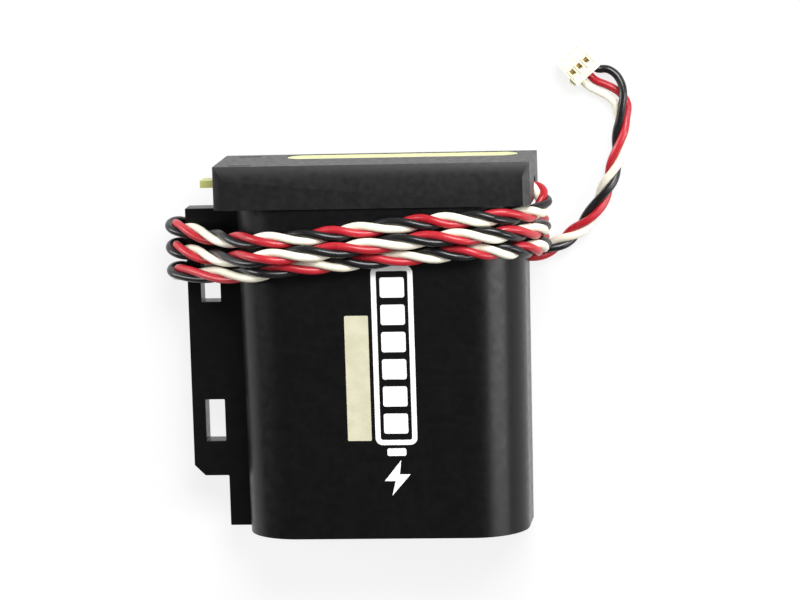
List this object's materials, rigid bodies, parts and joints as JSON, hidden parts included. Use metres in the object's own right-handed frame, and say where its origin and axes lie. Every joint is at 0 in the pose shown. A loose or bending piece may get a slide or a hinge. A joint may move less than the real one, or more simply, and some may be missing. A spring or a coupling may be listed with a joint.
{
  "type": "backup power module",
  "caption": "Backup power pack for a disk controller: sleeve with rounded edges and slotted flange, end cap, and a twisted lead wound round it to a small connector.",
  "frame": {"origin": "centre of the flat back face of the body, half way along the body and its end cap", "axes": "+Z out of the back towards the rounded front, +Y towards the end cap, +X towards the side the lead leaves"},
  "size_m": [0.1047, 0.1077, 0.0327],
  "materials": {
    "housing": "satin moulded",
    "end_cap": "satin moulded",
    "carrier": "satin moulded",
    "foam": "soft foam",
    "cell_sleeve": "shrink sleeve",
    "tinned_metal": "tinned",
    "board": "lacquered laminate",
    "chip_body": "moulded",
    "fuse_body": "satin",
    "bead": "dipped",
    "wire_black": "glossy insulation",
    "wire_red": "glossy insulation",
    "wire_white": "glossy insulation",
    "wire_mixed": "three coloured wires",
    "copper": "stranded copper",
    "connector": "natural nylon",
    "contact": "plated"
  },
  "bodies": {
    "root": {"housing": "housing", "end_cap": "end_cap", "board_carrier": "carrier", "end_pad": "foam", "cell_1": "cell_sleeve", "cell_2": "cell_sleeve", "cell_3": "cell_sleeve", "cell_1_pins": "tinned_metal", "cell_2_pins": "tinned_metal", "cell_3_pins": "tinned_metal", "circuit_board": "board", "memory_chip": "chip_body", "fuse": "fuse_body", "balance_resistors": "chip_body", "thermistor": "bead", "solder_joints": "tinned_metal", "black_stub": "wire_black", "red_stub": "wire_red", "white_stub": "wire_white", "lead_cores": "copper", "twisted_lead": "wire_mixed", "black_tail": "wire_black", "red_tail": "wire_red", "white_tail": "wire_white", "connector_housing": "connector", "contact_1": "contact", "contact_2": "contact", "contact_3": "contact"}
  },
  "joints": []
}
